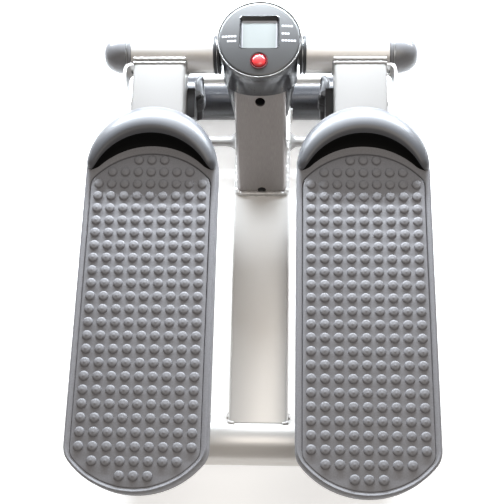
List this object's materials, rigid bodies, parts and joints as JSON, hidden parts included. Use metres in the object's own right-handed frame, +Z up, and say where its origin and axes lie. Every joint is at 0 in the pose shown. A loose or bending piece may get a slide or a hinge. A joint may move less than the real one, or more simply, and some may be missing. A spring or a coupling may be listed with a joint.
{
  "type": "mini stepper",
  "caption": "Floor stepper with two rocking pedals, a leaning mast with a cross axle, hydraulic dampers and a small round counter.",
  "frame": {"origin": "centre of the bounding box, on the floor", "axes": "+X to the user's right, +Y forwards towards the mast, +Z up"},
  "size_m": [0.319, 0.4696, 0.2086],
  "materials": {
    "frame_silver": "satin silver paint",
    "foot_dark": "satin dark grey paint",
    "mast_steel": "brushed, warm grey",
    "zinc_steel": "zinc plated",
    "black_plastic": "matt",
    "dark_plastic": "semi-gloss",
    "face_plastic": "satin",
    "tread_plastic": "satin",
    "tread_rubber": "satin rubber",
    "black_paint": "satin black paint",
    "lcd_glass": "clear window",
    "circuit_board": "solder mask",
    "ring_plastic": "gloss",
    "red_plastic": "gloss"
  },
  "bodies": {
    "frame": {"rear_foot_tube": "frame_silver", "front_foot_tube": "foot_dark", "rear_foot_cap_right": "black_plastic", "rear_foot_cap_left": "black_plastic", "front_foot_cap_right": "black_plastic", "front_foot_cap_left": "black_plastic", "spine_tube": "frame_silver", "mast_tube": "mast_steel", "damper_crossrod": "frame_silver", "crossrod_nut_right": "zinc_steel", "crossrod_nut_left": "zinc_steel", "pivot_axle": "zinc_steel", "axle_bolt_right": "zinc_steel", "axle_bolt_left": "zinc_steel", "rocker_bracket": "mast_steel", "rocker_pin": "zinc_steel", "rocker_nut": "zinc_steel", "console_housing": "dark_plastic", "console_bezel": "face_plastic", "lcd_window": "lcd_glass", "lcd_module": "black_plastic", "counter_board": "circuit_board", "button_ring": "ring_plastic"},
    "pedal_right": {"pivot_sleeve_right": "frame_silver", "inner_bushing_right": "black_plastic", "outer_bushing_right": "black_plastic", "end_cap_right": "dark_plastic", "pedal_arm_right": "frame_silver", "arm_plug_right": "black_plastic", "cord_eye_right": "frame_silver", "roller_lug_right": "black_paint", "support_plate_right": "black_paint", "footplate_right": "tread_plastic", "tread_mat_right": "tread_rubber", "toe_hood_right": "dark_plastic", "damper_bracket_right": "black_paint", "damper_pin_right": "zinc_steel"},
    "pedal_left": {"pivot_sleeve_left": "frame_silver", "inner_bushing_left": "black_plastic", "outer_bushing_left": "black_plastic", "end_cap_left": "dark_plastic", "pedal_arm_left": "frame_silver", "arm_plug_left": "black_plastic", "cord_eye_left": "frame_silver", "roller_lug_left": "black_paint", "support_plate_left": "black_paint", "footplate_left": "tread_plastic", "tread_mat_left": "tread_rubber", "toe_hood_left": "dark_plastic", "damper_bracket_left": "black_paint", "damper_pin_left": "zinc_steel"},
    "rocker": {"rocker_beam": "frame_silver"},
    "roller_right": {"rocker_roller_right": "black_plastic"},
    "damper_cylinder_right": {"damper_cylinder_right": "black_paint"},
    "damper_rod_right": {"damper_rod_right": "zinc_steel"},
    "roller_left": {"rocker_roller_left": "black_plastic"},
    "damper_cylinder_left": {"damper_cylinder_left": "black_paint"},
    "damper_rod_left": {"damper_rod_left": "zinc_steel"},
    "reset_button": {"reset_button": "red_plastic"}
  },
  "joints": [
    {"name": "right_pedal_pivot", "type": "hinge", "parent": "frame", "child": "pedal_right", "pos_m": [0.098, 0.19311, 0.1587], "axis": [1, 0, 0], "range_deg": [-11, 11]},
    {"name": "left_pedal_pivot", "type": "hinge", "parent": "frame", "child": "pedal_left", "pos_m": [-0.098, 0.19311, 0.1587], "axis": [1, 0, 0], "range_deg": [-11, 11]},
    {"name": "rocker_pivot", "type": "hinge", "parent": "frame", "child": "rocker", "pos_m": [0, 0.19787, 0.09531], "axis": [0, 0.5693, 0.8221], "range_deg": [-8.3, 8.3]},
    {"name": "right_roller_spin", "type": "hinge", "parent": "rocker", "child": "roller_right", "pos_m": [0.067, 0.15965, 0.12093], "axis": [0, 0.5693, 0.8221], "continuous": true},
    {"name": "right_damper_swing", "type": "hinge", "parent": "frame", "child": "damper_cylinder_right", "pos_m": [0.098, 0.15451, 0.03], "axis": [1, 0, 0], "range_deg": [-7.9, 7.9]},
    {"name": "right_damper_stroke", "type": "slide", "parent": "damper_cylinder_right", "child": "damper_rod_right", "axis": [0, -0.7807, 0.6249], "range_m": [-0.024, 0.024]},
    {"name": "left_roller_spin", "type": "hinge", "parent": "rocker", "child": "roller_left", "pos_m": [-0.067, 0.15965, 0.12093], "axis": [0, 0.5693, 0.8221], "continuous": true},
    {"name": "left_damper_swing", "type": "hinge", "parent": "frame", "child": "damper_cylinder_left", "pos_m": [-0.098, 0.15451, 0.03], "axis": [1, 0, 0], "range_deg": [-7.9, 7.9]},
    {"name": "left_damper_stroke", "type": "slide", "parent": "damper_cylinder_left", "child": "damper_rod_left", "axis": [0, -0.7807, 0.6249], "range_m": [-0.024, 0.024]},
    {"name": "reset_button_press", "type": "slide", "parent": "frame", "child": "reset_button", "axis": [0, 0, -1], "range_m": [0, 0.001], "stiffness_N_per_m": 400}
  ],
  "couplings": [
    {"joint": "left_pedal_pivot", "follows": "right_pedal_pivot", "ratio": -1},
    {"joint": "rocker_pivot", "follows": "right_pedal_pivot", "ratio": 0.748},
    {"joint": "right_damper_swing", "follows": "right_pedal_pivot", "ratio": 0.70707},
    {"joint": "right_damper_stroke", "follows": "right_pedal_pivot", "m_per_rad": -0.12442},
    {"joint": "left_damper_swing", "follows": "right_pedal_pivot", "ratio": -0.70707},
    {"joint": "left_damper_stroke", "follows": "right_pedal_pivot", "m_per_rad": 0.12442}
  ]
}
